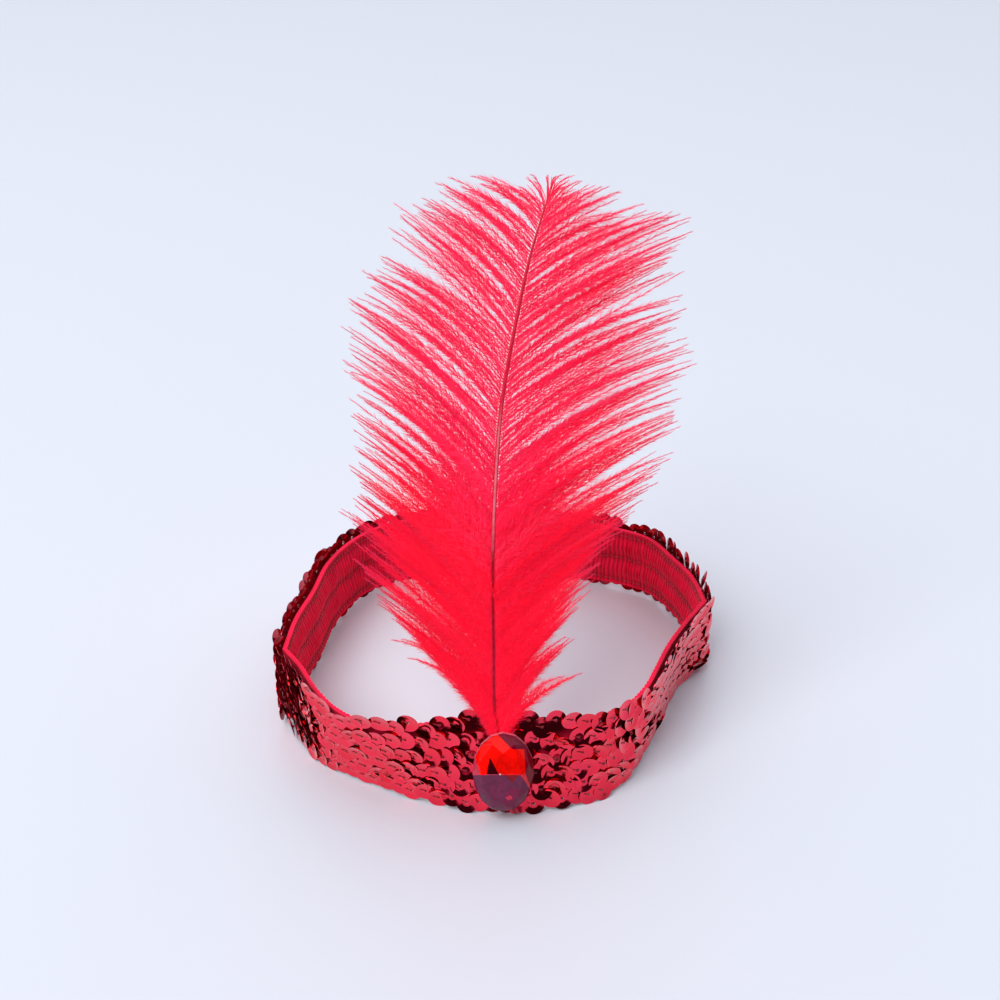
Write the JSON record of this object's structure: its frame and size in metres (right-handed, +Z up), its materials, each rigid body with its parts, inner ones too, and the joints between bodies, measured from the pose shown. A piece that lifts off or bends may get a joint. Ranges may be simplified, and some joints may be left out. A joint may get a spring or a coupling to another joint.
{
  "type": "flapper feather headband",
  "caption": "Elastic headband covered with cup sequins, with an upright ostrich feather and an oval faceted stone at the front.",
  "frame": {"origin": "middle of the bounding box, on the surface that the lower sequins stand on", "axes": "+X to the viewer's right, +Y from the stone to the back of the loop, +Z up; the stone and the feather face -Y"},
  "size_m": [0.142, 0.1374, 0.1773],
  "materials": {
    "ribbon": "matt gathered elastic cloth",
    "sequins": "metallised red film, mirror bright",
    "feather": "dyed soft barbs",
    "quill": "dyed horn, satin",
    "stone": "clear red acrylic with a foiled back"
  },
  "bodies": {
    "root": {"stretch_band": "ribbon", "sequin_layer": "sequins", "feather_shaft": "quill", "left_vane": "feather", "right_vane": "feather", "gem": "stone"}
  },
  "joints": []
}
